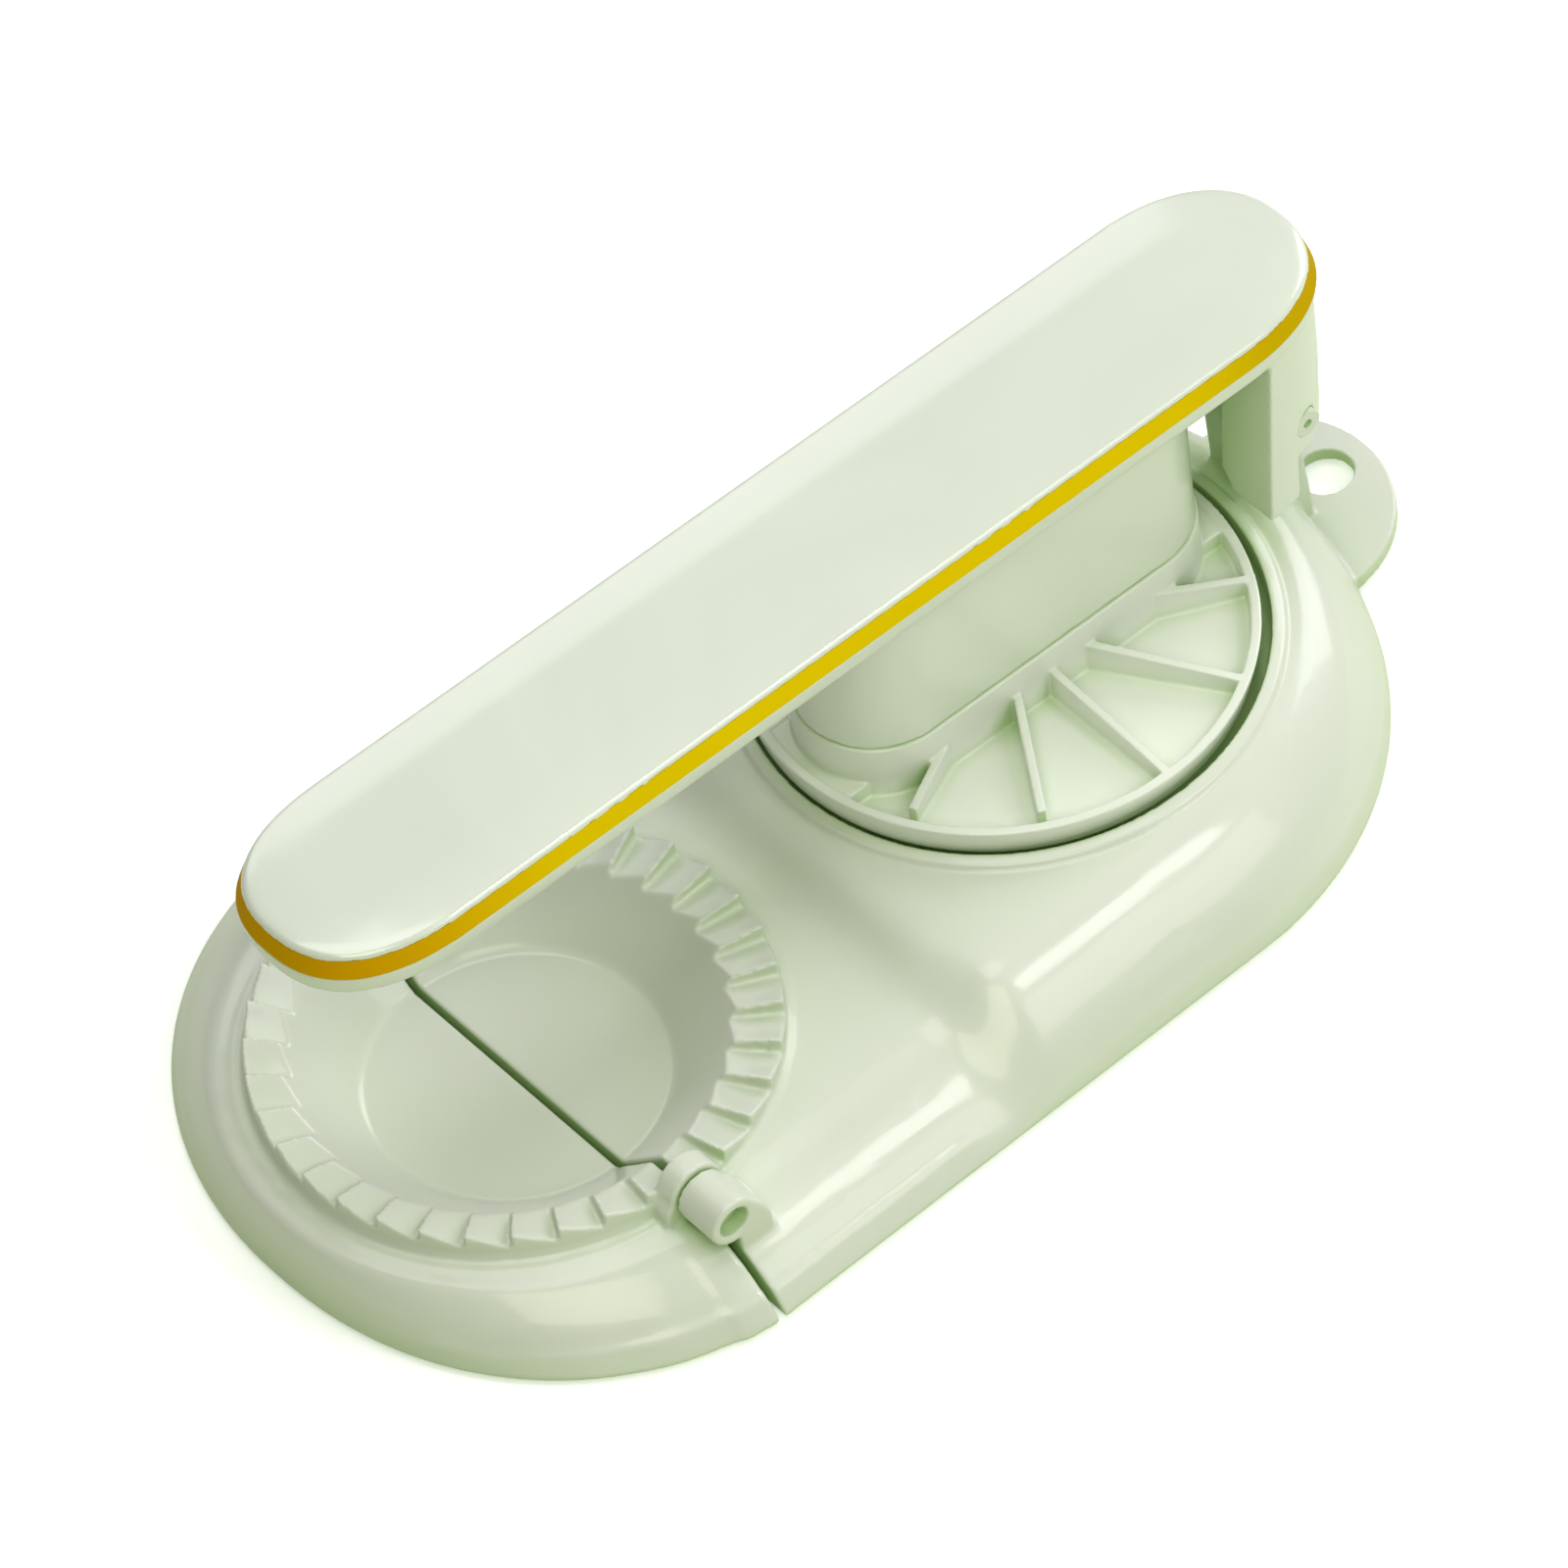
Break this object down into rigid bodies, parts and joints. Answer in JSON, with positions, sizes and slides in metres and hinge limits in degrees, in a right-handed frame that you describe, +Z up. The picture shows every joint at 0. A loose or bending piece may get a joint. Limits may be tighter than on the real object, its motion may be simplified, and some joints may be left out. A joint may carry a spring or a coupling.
{
  "type": "empanada press",
  "caption": "Two-station hand dough press: a hinged lever drives a round ribbed plate into a lipped well, beside a folding half-bowl mould with a crimped edge and a hanging loop.",
  "frame": {"origin": "centre of the bounding box on the plane the feet stand on", "axes": "+X from the folding mould towards the lever hinge and hanging loop, +Y across, +Z up"},
  "size_m": [0.2053, 0.1128, 0.0723],
  "materials": {
    "base": "smooth satin-gloss moulding",
    "mould_flap": "smooth satin-gloss moulding",
    "flap_pins": "smooth",
    "lever": "smooth satin-gloss moulding",
    "lever_cover": "glossy, softly crowned",
    "trim": "glossy gold-yellow",
    "lever_pin": "smooth",
    "press_plate": "smooth satin-gloss moulding",
    "screws": "zinc plated",
    "feet": "matt, soft"
  },
  "bodies": {
    "base": {"base_body": "base", "flap_pin_near": "flap_pins", "flap_pin_far": "flap_pins", "foot_1": "feet", "foot_2": "feet", "foot_3": "feet", "foot_4": "feet"},
    "folding_half": {"mould_flap": "mould_flap", "flap_foot_1": "feet", "flap_foot_2": "feet"},
    "lever": {"lever_shell": "lever", "lever_cover": "lever_cover", "trim_strip": "trim", "lever_pin": "lever_pin", "press_plate": "press_plate", "plate_screws": "screws", "cover_screws": "screws"}
  },
  "joints": [
    {"name": "lever_hinge", "type": "hinge", "parent": "base", "child": "lever", "pos_m": [0.083, 0, 0.0376], "axis": [0, 1, 0], "range_deg": [-2.6, 105]},
    {"name": "mould_hinge", "type": "hinge", "parent": "base", "child": "folding_half", "pos_m": [-0.0576, 0, 0.016], "axis": [0, 1, 0], "range_deg": [0, 180]}
  ]
}
